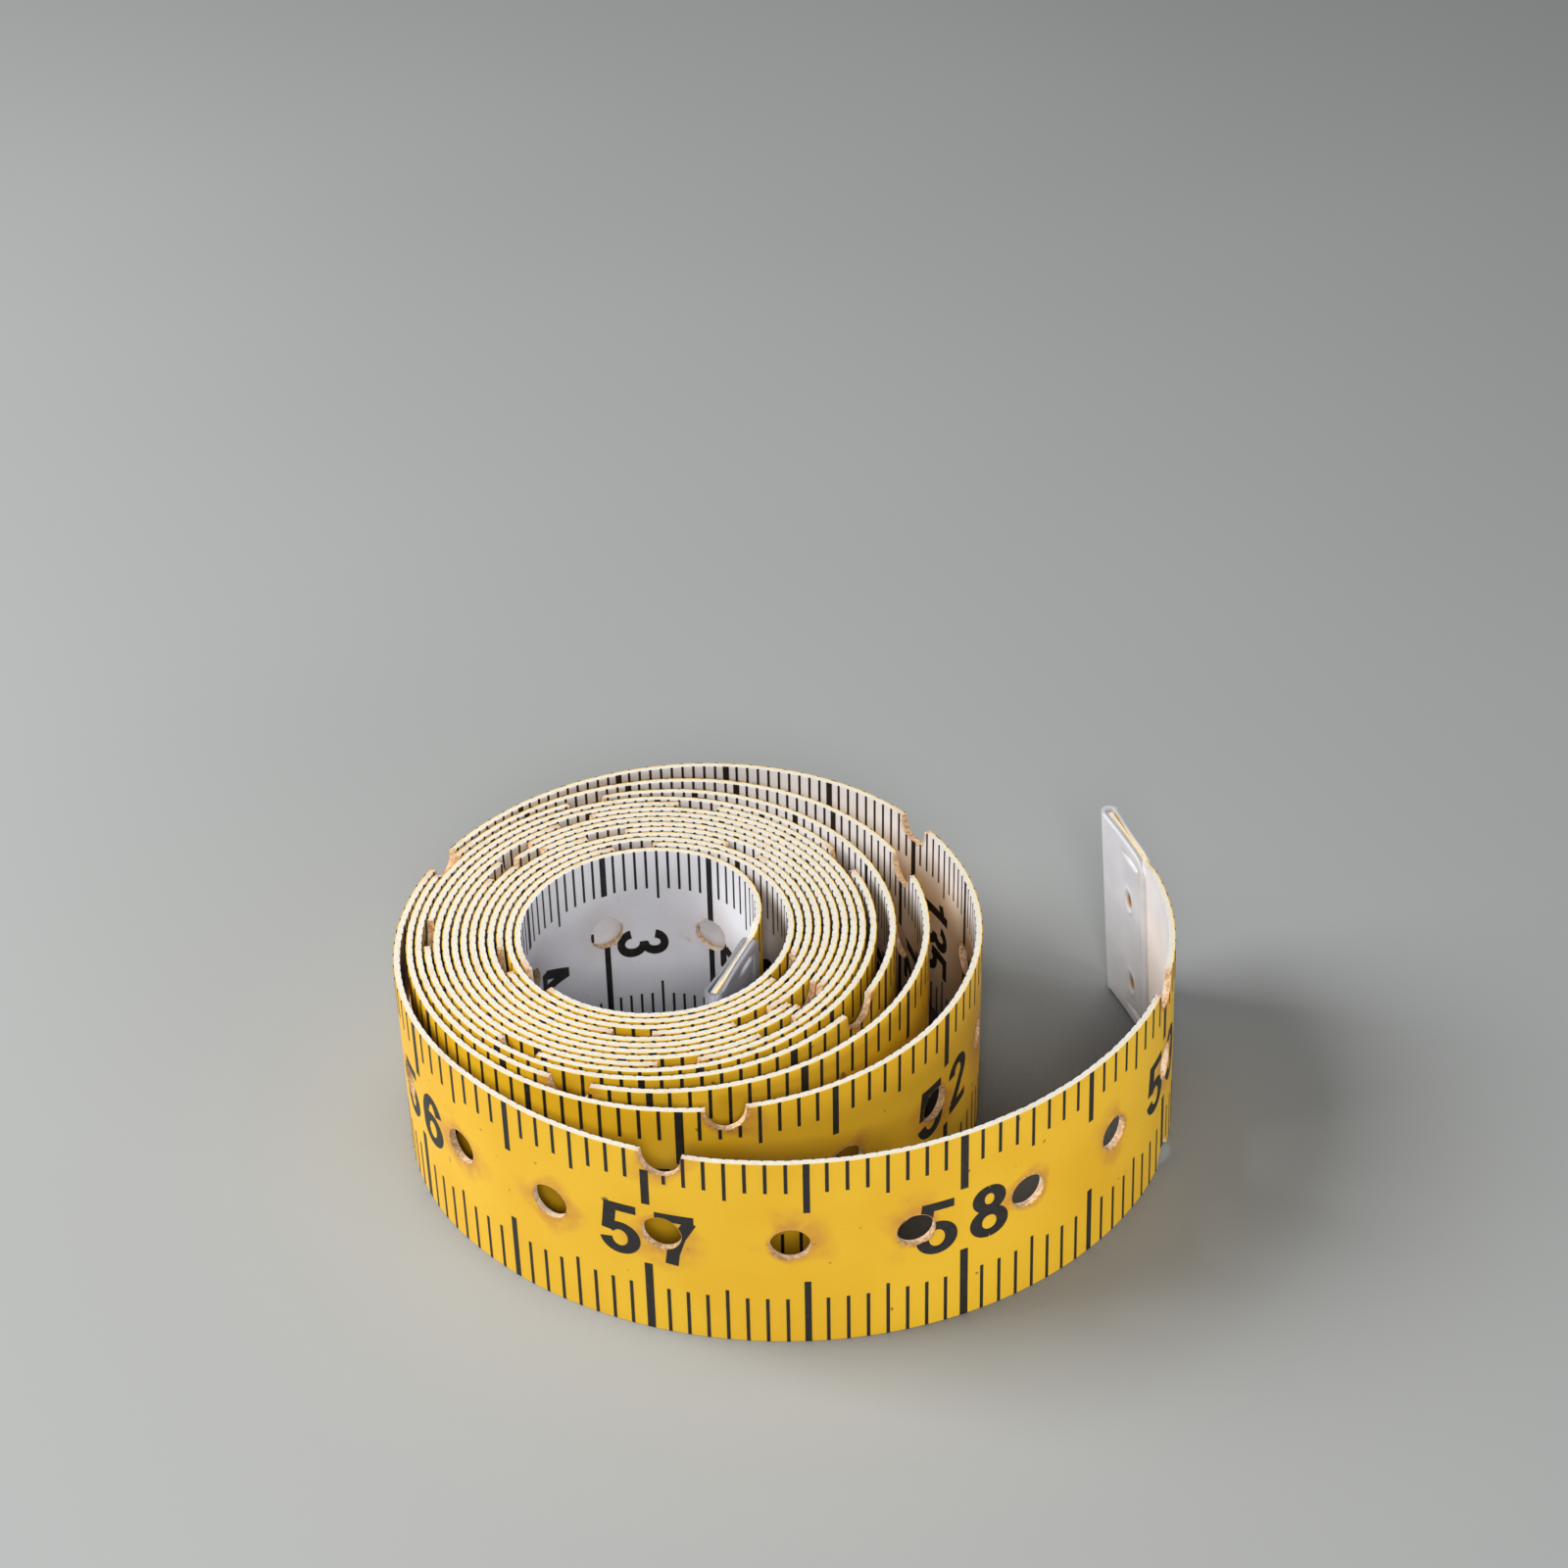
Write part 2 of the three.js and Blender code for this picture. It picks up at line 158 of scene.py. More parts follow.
# Clips: half the thickness over both leaves, the swelling of the fold, and what is pressed into the
# leaves
CLIP_LENGTH = 9.4
CLIP_INSET = 0.06
CLIP_SHELTER = 0.3
SHELTER_REACH = 0.8
CLIP_HALF = 0.58
CLIP_SWELL = 0.17
SWELL_REACH = 2.4
CLIP_SHEET = 0.28
CLIP_CORNER = 1.8
CLIP_ROWS = 150
CLIP_FOLD = CLIP_HALF + CLIP_SWELL
LEAF_SHARES = np.concatenate([np.linspace(0, 0.24, 25), np.linspace(0.24, 1, 44)[1:]])
FOLD_ANGLES = np.linspace(np.pi / 2, -np.pi / 2, 15)[1:-1]
PRESS_START = 0.2
EDGE_PRESS = 0.12
EDGE_REACH = 0.35
# Share of brown painted along each leaf's free edge as shade of the gap beneath it
EDGE_SHADE = 0.6
GROOVE_DEPTH = 0.25
GROOVE_INSET = 1.4
GROOVE_HALF = 0.2
GROOVE_START = 4.6
GROOVE_EASE = 1.5
DENT_REACH = 0.64
DENT_HEIGHTS = (0.23, 0.69)
DENT_LENGTH = 0.8
DENT_HEIGHT = 1.15
DENT_DEPTH = 0.26
DENT_LIP = 0.1
HOLLOW_SHARE = 0.6
LIP_SHARE = 0.25
PIERCED_SHARE = 0.75

# Scorch: how far it goes past the first and the last perforation, a distance at which there is
# none, and how far a notch's scorch lies below the upper edge and outside the notch
SCORCH_PAST_ROW = (4.0, 6.0)
UNSCORCHED = 9.0
NOTCH_SCORCH_DROP = 0.4
NOTCH_SCORCH_EXTRA = 0.1

# White face: where along the ribbon a painted warm bounce light sets in, where it grows weaker
# again, and the heights over which it fades
WARM_BOUNCE_RISE = (850.0, 1200.0)
WARM_BOUNCE_FALL = (1440.0, 1470.0)
WARM_BOUNCE_HEIGHTS = (12.0, 18.0)

# Floor, of squares, with the distance over which painted shade darkens it near walls
FLOOR_REACH = 3000.0
FLOOR_POINTS = 13
FLOOR_DROP = 0.02
SHADE_REACH = 26.0

# Camera, from the picture's vanishing lines
LENS = 69.3
SENSOR = 36.0
CAMERA_PLACE = np.array([0.1651, -199.26, 176.2])
CAMERA_PITCH = np.radians(35.24)
CAMERA_ROLL = np.radians(-1.13)

rng = np.random.default_rng(7)
HOLE_SHIFT = rng.normal(0.0, 0.07, (LAST_HOLE + 2, 2))
HOLE_SIZE = HOLE_RADIUS * rng.uniform(0.94, 1.05, LAST_HOLE + 2)
HOLE_EGG = rng.uniform(-0.06, 0.06, (LAST_HOLE + 2, 2))
NOTCH_SIZE = rng.uniform(0.9, 1.08, (LAST_NOTCH + 3, 2))


# The ribbon's path

def coil_radius(back, turns):
    """Radius of a turn: the eye, a pitch for each turn, and the slack that the outer turns have on
    one side."""
    facing = (1 + np.cos(LEAVE_ANGLE - 2 * np.pi * back - SLACK_ANGLE)) / 2
    slack = np.clip(1 - back / SLACK_TURNS, 0, None)
    growth = SLACK_WIDTH * slack**SLACK_RISE * facing**SLACK_SPREAD
    return EYE_RADIUS + TURN_PITCH * (turns - back) + growth


def coil_place(back, turns):
    """Point and heading of the coil: polar with the radius above, the heading square to the radius
    but for its slope."""
    angle = LEAVE_ANGLE - 2 * np.pi * back
    radius = coil_radius(back, turns)
    small = 1e-4
    change = coil_radius(back - small, turns) - coil_radius(back + small, turns)
    slope = change / (4 * np.pi * small)
    heading = angle + np.pi / 2 - np.arctan2(slope, radius)
    return radius * np.cos(angle), radius * np.sin(angle), heading


def coil_length(turns):
    """Length of the coil as the sum of its chords."""
    x, y, _ = coil_place(np.linspace(turns, 0, int(np.ceil(turns * CHORDS_PER_TURN)) + 1), turns)
    return np.hypot(np.diff(x), np.diff(y)).sum()


def turns_for(length):
    """Number of turns that uses up a length, by halving."""
    low, high = 1.0, 40.0
    for _ in range(50):
        middle = (low + high) / 2
        low, high = (middle, high) if coil_length(middle) < length else (low, middle)
    return (low + high) / 2


TURNS = turns_for(COIL_END - START_LENGTH)
BACK = np.linspace(TURNS, 0, PATH_POINTS)
BACK_X, BACK_Y, _ = coil_place(BACK, TURNS)
BACK_S = START_LENGTH + np.concatenate([[0], np.hypot(np.diff(BACK_X), np.diff(BACK_Y)).cumsum()])
BACK_S *= COIL_END / BACK_S[-1]


def along(x, y, heading, radius, distance):
    """Point a distance along an arc: the chord of a circle of that radius, to the left of the
    heading."""
    turned = heading + distance / radius
    return (x + radius * (np.sin(turned) - np.sin(heading)),
            y + radius * (np.cos(heading) - np.cos(turned)), turned)


def place(s):
    """Point and heading at each s: a straight end and an arc, the coil, then three arcs and a
    straight end."""
    s = np.asarray(s, float)
    x, y, heading = coil_place(np.interp(s, BACK_S, BACK), TURNS)
    walked = np.clip(START_LENGTH - s, 0, None)
    x, y, heading = along(x, y, heading, START_BEND_RADIUS, -np.minimum(walked, START_BEND_LENGTH))
    straight = -np.clip(walked - START_BEND_LENGTH, 0, None)
    x, y = x + straight * np.cos(heading), y + straight * np.sin(heading)
    left = np.clip(s - COIL_END, 0, None)
    for radius, length in TAIL_BENDS:
        step = np.minimum(left, length)
        x, y, heading = along(x, y, heading, radius, step)
        left = left - step
    return x + left * np.cos(heading), y + left * np.sin(heading), heading


def splay(s, height):
    """Outward lean of the lower edge, which eases in along the ribbon and fades towards the upper
    edge."""
    share = np.clip((s - SPLAY_START) / SPLAY_REACH, 0, 1)
    return SPLAY * share**2 * (3 - 2 * share) * (1 - height / TAPE_WIDTH)


def slant(height):
    """How far the cut of the outer end is set back, in proportion to the depth below the upper
    edge."""
    return SLANT * (1 - height / TAPE_WIDTH)


def cut_aslant(spot):
    """Spots of the ribbon, squeezed back along the last stretch so that it ends on the slanting
    cut."""
    share = np.clip((spot[..., 0] - LAST_SEAM) / (TAPE_LENGTH - LAST_SEAM), 0, 1)
    return spot - share[..., None] * np.stack([slant(spot[..., 1])] + 2 * [0 * share], -1)


def on_tape(spot):
    """Point of the part for each (s, height, offset): the path's point, moved square to it by the
    offset and the lean."""
    s, height, offset = np.moveaxis(np.asarray(spot, float), -1, 0)
    x, y, heading = place(s)
    offset = offset + splay(s, height)
    return np.stack([x + offset * np.sin(heading) + COIL_CENTRE[0],
                     y - offset * np.cos(heading) + COIL_CENTRE[1], height], -1)


# The ribbon's edges and openings

def waver(s, phase):
    """Small wear of an edge: a sum of sines whose lengths share no multiple."""
    return (0.5 * np.sin(s / 0.83 + phase) + 0.7 * np.sin(s / 2.37 + 2 * phase)
            + np.sin(s / 7.1 + 3 * phase)) * EDGE_WEAR


def row(k, spacing):
    """Distance along the ribbon of the marks of an evenly spaced row."""
    return ROW_START + k * spacing


def nearest(s, spacing, first, last):
    """Index of the nearest mark of a row to each s."""
    return np.clip(np.round((s - ROW_START) / spacing), first, last).astype(int)


def opening(s):
    """Lower and upper height of the perforation at each s: a circle whose two halves are a little
    egg shaped."""
    k = nearest(s, HOLE_SPACING, FIRST_HOLE, LAST_HOLE)
    middle = HOLE_HEIGHT + HOLE_SHIFT[k, 1]
    offset = s - row(k, HOLE_SPACING) - HOLE_SHIFT[k, 0]
    half = np.sqrt(np.clip(HOLE_SIZE[k] ** 2 - offset**2, 0, None))
    half[half < LEAST_HOLE] = 0
    return middle - half * (1 + HOLE_EGG[k, 0]), middle + half * (1 + HOLE_EGG[k, 1])


def notch(s, centre, size):
    """Depth of a notch at each s: a superellipse with steep sides and a flat foot."""
    share = np.clip(np.abs(s - centre) / (NOTCH_HALF * size[..., 0]), 0, 1)
    return NOTCH_DEPTH * size[..., 1] * np.sqrt(1 - share**NOTCH_POWER)


def upper_edge(s):
    """Height of the upper edge: the width less its wear, its shelter in the clips, and each fifth
    perforation's notch."""
    k = nearest(s, NOTCH_SPACING, 1, LAST_NOTCH)
    from_end = np.minimum(s, TAPE_LENGTH - s)
    clipped = np.clip((CLIP_LENGTH + SHELTER_REACH - from_end) / SHELTER_REACH, 0, 1)
    whole = TAPE_WIDTH - UPPER_TRIM + waver(s, WEAR_PHASE) - CLIP_SHELTER * clipped**2
    return whole - notch(s, row(k, NOTCH_SPACING), NOTCH_SIZE[k])


def lower_edge(s):
    """Height of the lower edge, with the one notch near the outer end."""
    return notch(s, LOWER_NOTCH, np.ones(2)) * LOWER_NOTCH_SHARE


def columns(start, end):
    """Distances at which a stretch has columns: close round each opening, and no further apart than
    the longest."""
    k = np.arange(FIRST_HOLE, LAST_HOLE + 1)
    sweep = np.cos(np.linspace(np.pi, 0, OPENING_STEPS))
    holes = (row(k, HOLE_SPACING) + HOLE_SHIFT[k, 0])[:, None] + HOLE_SIZE[k, None] * sweep
    n = np.arange(1, LAST_NOTCH + 1)
    notches = row(n, NOTCH_SPACING)[:, None] + NOTCH_HALF * NOTCH_SIZE[n, :1] * sweep
    marks = np.concatenate([holes.ravel(), notches.ravel(), LOWER_NOTCH + NOTCH_HALF * sweep])
    marks = np.sort(marks[(marks > start + SEAM_CLEARANCE) & (marks < end - SEAM_CLEARANCE)])
    s = np.unique(np.round(np.concatenate([[start], marks, [end]]), 3))
    gaps = np.diff(s)
    pieces = np.ceil(gaps / LONGEST_COLUMN).astype(int)
    index = np.repeat(np.arange(gaps.size), pieces)
    step = np.arange(index.size) - np.repeat(np.cumsum(pieces) - pieces, pieces)
    return np.append(s[index] + gaps[index] * step / pieces[index], end)


# Meshes

def make_piece(name, points, faces, finish, spots=None, crease=40):
    """A mesh object from points in millimetres and faces, with the ribbon's own coordinates as an
    attribute."""
    used, own = np.unique(faces, return_inverse=True)
    mesh = bpy.data.meshes.new(name)
    mesh.from_pydata((points[used] * MM).tolist(), [], own.reshape(faces.shape).tolist())
    if spots is not None:
        data = mesh.attributes.new("tape_place", "FLOAT_VECTOR", "POINT").data
        data.foreach_set("vector", spots[used].astype(np.float32).ravel())
    mesh.materials.append(finish)
    mesh.shade_smooth()
    mesh.set_sharp_from_angle(angle=np.radians(crease))
    made = bpy.data.objects.new(name, mesh)
    bpy.context.scene.collection.objects.link(made)
    return made


def strip(a, b):
    """Quads between two rows of indices, turned so that b lies to the left of a."""
    return np.stack([a[:-1], a[1:], b[1:], b[:-1]], -1)


def ribbon(s, inner, outer):
    """A closed layer of the ribbon between two offsets: columns of four heights on each side, those
    of the perforation joined into one where it is shut, with quads on both faces, both edges and
    the walls of openings."""
    low, high = opening(s)
    shut = high <= low
    heights = np.stack([lower_edge(s), low, high, upper_edge(s)])
    spots = np.empty((2, 4, s.size, 3))
    spots[..., 0] = s
    spots[..., 1] = heights
    spots[0, ..., 2] = outer
    spots[1, ..., 2] = inner
    index = np.arange(8 * s.size).reshape(2, 4, s.size)
    index[:, 2] = np.where(shut, index[:, 1], index[:, 2])
    out, within = index
    wall = ~(shut[:-1] & shut[1:])
    quads = [
        strip(out[0], out[1]), strip(out[2], out[3]),
        strip(within[1], within[0]), strip(within[3], within[2]),
        strip(within[0], out[0]), strip(out[3], within[3]),
        strip(out[1], within[1])[wall], strip(within[2], out[2])[wall],
    ]
    for c, turn in ((0, 1), (-1, -1)):
        for lo, hi in ((0, 1), (2, 3)):
            quads.append(np.array([[out[lo, c], out[hi, c], within[hi, c], within[lo, c]][::turn]]))
    return spots.reshape(-1, 3), np.concatenate(quads)


def grid_quads(top):
    """Quads between the neighbours of a grid of indices."""
    return np.stack([top[:-1, :-1], top[1:, :-1], top[1:, 1:], top[:-1, 1:]], -1).reshape(-1, 4)


def slab_quads(rows, cols):
    """Quads of a closed slab: a grid, its copy beneath, and a strip round their borders."""
    top = np.arange(rows * cols).reshape(rows, cols)
    face = grid_quads(top)
    ring = np.concatenate([top[:-1, 0], top[-1, :-1], top[:0:-1, -1], top[0, :0:-1]])
    following = np.roll(ring, -1)
    under = rows * cols
    side = np.stack([following, ring, ring + under, following + under], -1)
    return np.concatenate([face, face[:, ::-1] + under, side])


# Print

def hole_rim(k):
    """Outline of a perforation as the print meets it, a little outside its wall."""
    t = np.linspace(0, 2 * np.pi, RIM_POINTS, endpoint=False)
    egg = 1 + np.where(np.sin(t) < 0, HOLE_EGG[k, 0], HOLE_EGG[k, 1])
    around = np.stack([np.cos(t), np.sin(t) * egg], -1) * HOLE_SIZE[k] * RIM_SHARE
    return around + HOLE_SHIFT[k] + (row(k, HOLE_SPACING), HOLE_HEIGHT)


def triangles(quads):
    """Two triangles for each quad."""
    return np.concatenate([quads[:, [0, 1, 2]], quads[:, [0, 2, 3]]])


def plate(flat, faces, side):
    """Closed plates of ink on one face from a flat drawing in s and height: its triangles stand a
    little proud of the vinyl, their copies lie within it, and a wall runs along each edge that only
    one triangle has."""
    count = len(flat)
    spots = np.empty((2, count, 3))
    spots[..., :2] = flat
    spots[0, :, 2] = side * (TAPE_HALF + INK_LIFT)
    spots[1, :, 2] = side * (TAPE_HALF - INK_SINK)
    edges = np.concatenate([faces[:, [0, 1]], faces[:, [1, 2]], faces[:, [2, 0]]])
    code, back = edges @ (count, 1), edges @ (1, count)
    a, b = edges[~np.isin(code, back)].T
    wall = triangles(np.stack([b, a, a + count, b + count], -1))
    faces = np.concatenate([faces, faces[:, ::-1] + count, wall])
    return spots.reshape(-1, 3), faces[:, ::side]


def bars(s, width, low, high, side):
    """Ink bars across the ribbon, each one a plate of four corners."""
    s, width, low, high = np.broadcast_arrays(s, width, low, high)
    left, right = s - width / 2, s + width / 2
    corners = np.stack([np.stack([left, low], -1), np.stack([right, low], -1),
                        np.stack([right, high], -1), np.stack([left, high], -1)], 1)
    quads = np.arange(4 * s.size).reshape(-1, 4)
    return plate(corners.reshape(-1, 2), triangles(quads), side)


def drawing(outlines, holes, start, end):
    """Triangles that fill the outlines but not the holes from start to end, cut along s so that
    they can follow the ribbon's bend."""
    loops = outlines + holes
    points = np.concatenate(loops)
    stops = np.cumsum([len(loop) for loop in loops])
    faces = [list(range(stop - len(loop), stop)) for loop, stop in zip(loops, stops)]
    (left, low), (right, high) = points.min(0) - INK_MARGIN, points.max(0) + INK_MARGIN
    cuts = np.arange(np.ceil(left / INK_COLUMN), right / INK_COLUMN) * INK_COLUMN
    cuts = np.append(cuts, [s for s in (start, end) if left < s < right])
    rules = np.stack([np.stack([cuts, 0 * cuts + z], -1) for z in (low, high)], 1).reshape(-1, 2)
    edges = [(len(points) + 2 * i, len(points) + 2 * i + 1) for i in range(len(cuts))]
    verts = [Vector(p) for p in np.concatenate([points, rules]).tolist()]
    flat, _, made, _, _, source = delaunay_2d_cdt(verts, edges, faces, 0, 1e-5)
    flat = np.array([tuple(p) for p in flat])
    kept = np.array([face for face, of in zip(made, source) if of and max(of) < len(outlines)])
    middle = flat[kept, 0].mean(1)
    return flat, kept[(middle > start) & (middle < end)]


ARC_STEP = 9
NUMERAL_MIDDLE = 0.32
STROKE_THIN = 0.155
STROKE_THICK = 0.2


def arc(cx, cy, rx, ry, start, end):
    """Points of an ellipse between two angles in degrees."""
    t = np.radians(np.linspace(start, end, 1 + int(abs(end - start) / ARC_STEP)))
    return np.stack([cx + rx * np.cos(t), cy + ry * np.sin(t)], -1)


def line(*points):
    """Points of a stroke with corners."""
    return np.array(points, float)


# Centrelines of each numeral's strokes, in a cell one unit high
NUMERALS = {
    "0": [arc(0.32, 0.5, 0.22, 0.415, 90, 270), arc(0.32, 0.5, 0.22, 0.415, 270, 450)],
    "1": [line((0.38, 0), (0.38, 1)), line((0.4, 0.83), (0.12, 0.74))],
    "2": [np.concatenate([arc(0.31, 0.71, 0.21, 0.21, 182, -28), line((0.13, 0.14))]),
          line((0.03, 0.085), (0.6, 0.085))],
    "3": [arc(0.3, 0.73, 0.19, 0.19, 175, -95), arc(0.3, 0.3, 0.22, 0.22, 98, -175)],
    "4": [line((0.42, 0), (0.42, 1)), line((0.4, 0.96), (0.08, 0.32)),
          line((0.02, 0.29), (0.62, 0.29))],
    "5": [line((0.12, 0.92), (0.57, 0.92)), line((0.17, 0.99), (0.11, 0.44)),
          arc(0.3, 0.315, 0.225, 0.235, 140, -172)],
    "6": [arc(0.32, 0.32, 0.215, 0.235, 90, 270), arc(0.32, 0.32, 0.215, 0.235, 270, 450),
          arc(0.335, 0.48, 0.235, 0.435, 195, 28)],
    "7": [line((0.03, 0.91), (0.62, 0.91)),
          line((0.57, 0.88), (0.4, 0.56), (0.3, 0.24), (0.27, 0.0))],
    "8": [arc(0.32, 0.74, 0.18, 0.18, 90, 270), arc(0.32, 0.74, 0.18, 0.18, 270, 450),
          arc(0.32, 0.295, 0.22, 0.21, 90, 270), arc(0.32, 0.295, 0.22, 0.21, 270, 450)],
    "9": [arc(0.32, 0.68, 0.215, 0.235, 90, 270), arc(0.32, 0.68, 0.215, 0.235, 270, 450),
          arc(0.305, 0.52, 0.235, 0.435, 15, -152)],
}


def stroke(path):
    """A stroke's outline: its centreline widened square to itself, more where it runs upright."""
    run = np.gradient(path, axis=0)
    run /= np.linalg.norm(run, axis=1, keepdims=True)
    width = STROKE_THIN + (STROKE_THICK - STROKE_THIN) * run[:, 1:] ** 2
    square = np.stack([-run[:, 1], run[:, 0]], -1) * width / 2
    return np.concatenate([path - square, (path + square)[::-1]])


def number(value, height, pitch):
    """Outlines of a number's strokes, centred, a height tall and with one pitch from numeral to
    numeral."""
    digits = str(value)
    middle = NUMERAL_MIDDLE + pitch * (len(digits) - 1) / 2
    return [(stroke(path) + (i * pitch - middle, 0)) * height
            for i, digit in enumerate(digits) for path in NUMERALS[digit]]


def reaching(s, start, end):
    """Which marks are so close to a stretch that their numbers may reach into it."""
    return (s > start - NUMBER_REACH) & (s < end + NUMBER_REACH)


def near_holes(s):
    """Rims of the perforations within reach of a number."""
    around = np.array([s - HOLE_SPACING, s, s + HOLE_SPACING])
    k = nearest(around, HOLE_SPACING, FIRST_HOLE, LAST_HOLE)
    return [hole_rim(i) for i in np.unique(k)]


def bar_ends(s, width):
    """Heights at which bars meet the lower and the upper edge, at the worse of their two sides."""
    left, right = s - width / 2, s + width / 2
    return (np.maximum(lower_edge(left), lower_edge(right)),
            np.minimum(upper_edge(left), upper_edge(right)) + INK_LIFT)


def inch_print(start, end):
    """Print of the yellow face: a bar at each sixteenth of an inch on both edges, longer and wider
    at the halves and inches, and a number at each inch."""
    n = np.arange(FIRST_INCH_BAR, INCH_COUNT * INCH_PARTS)
    s = INCH_START + n * INCH / INCH_PARTS
    shown = (s >= start) & (s < min(end, TAPE_LENGTH - CLIP_LENGTH))
    n, s = n[shown], s[shown]
    rank = [n % (INCH_PARTS // parts) == 0 for parts in (1, 2, 4, INCH_PARTS)]
    sizes = (INCH_BAR_WIDTHS, INCH_UPPER_BARS, INCH_LOWER_BARS)
    width, upper, lower = (np.select(rank, by_rank) for by_rank in sizes)
    foot, top = bar_ends(s, width)
    made = [bars(s, width, TAPE_WIDTH - upper, top, 1), bars(s, width, foot, lower, 1)]
    inches = np.arange(1, INCH_COUNT)
    for inch in inches[reaching(INCH_START + inches * INCH, start, end)]:
        line_s = INCH_START + inch * INCH
        outlines = [loop + (line_s, INCH_FOOT) for loop in number(inch, INCH_NUMBER, INCH_PITCH)]
        made.append(plate(*drawing(outlines, near_holes(line_s), start, end), 1))
    return made


def centimetre_print(start, end):
    """Print of the white face: a bar at each millimetre on both edges, a longer one at each fifth,
    a wide line across at each tenth that stops at the perforation, and numbers that read down the
    face."""
    n = np.arange(FIRST_MILLIMETRE, LAST_HOLE * 10)
    s = row(n, SCALE)
    shown = (s >= start) & (s < end)
    n, s = n[shown], s[shown]
    whole, half = n % 10 == 0, n % 5 == 0
    width = np.where(whole, CENTIMETRE_WIDTH, MILLIMETRE_WIDTH)
    foot, top = bar_ends(s, width)
    low, high = opening(row(np.round(n / 10), HOLE_SPACING))
    upper = TAPE_WIDTH - np.where(half, HALF_UPPER_BAR, MILLIMETRE_UPPER_BAR)
    upper = np.where(whole, high + LINE_OVERLAP, upper)
    short = whole & (n >= SHORT_LINES[0]) & (n <= SHORT_LINES[1])
    upper = np.where(short, TAPE_WIDTH - SHORT_LINE, upper)
    lower = np.where(half, HALF_LOWER_BAR, MILLIMETRE_LOWER_BAR)
    lower = np.where(whole, low - LINE_OVERLAP, lower)
    made = [bars(s, width, upper, top, -1), bars(s, width, foot, lower, -1)]
    centimetres = np.arange(FIRST_CENTIMETRE_NUMBER, LAST_HOLE)
    for centimetre in centimetres[reaching(row(centimetres, HOLE_SPACING), start, end)]:
        line_s = row(centimetre, HOLE_SPACING)
        upright = number(centimetre, CENTIMETRE_NUMBER, CENTIMETRE_PITCH)
        corner = (line_s - CENTIMETRE_GAP, CENTIMETRE_HEIGHT)
        outlines = [corner - loop[::-1, ::-1] for loop in upright]
        made.append(plate(*drawing(outlines, near_holes(line_s), start, end), -1))
    return made


def joined(plates):
    """One set of spots and faces from many."""
    shift = np.cumsum([0] + [len(spots) for spots, _ in plates[:-1]])
    return (np.concatenate([spots for spots, _ in plates]),
            np.concatenate([faces + at for (_, faces), at in zip(plates, shift)]))


# Finishes

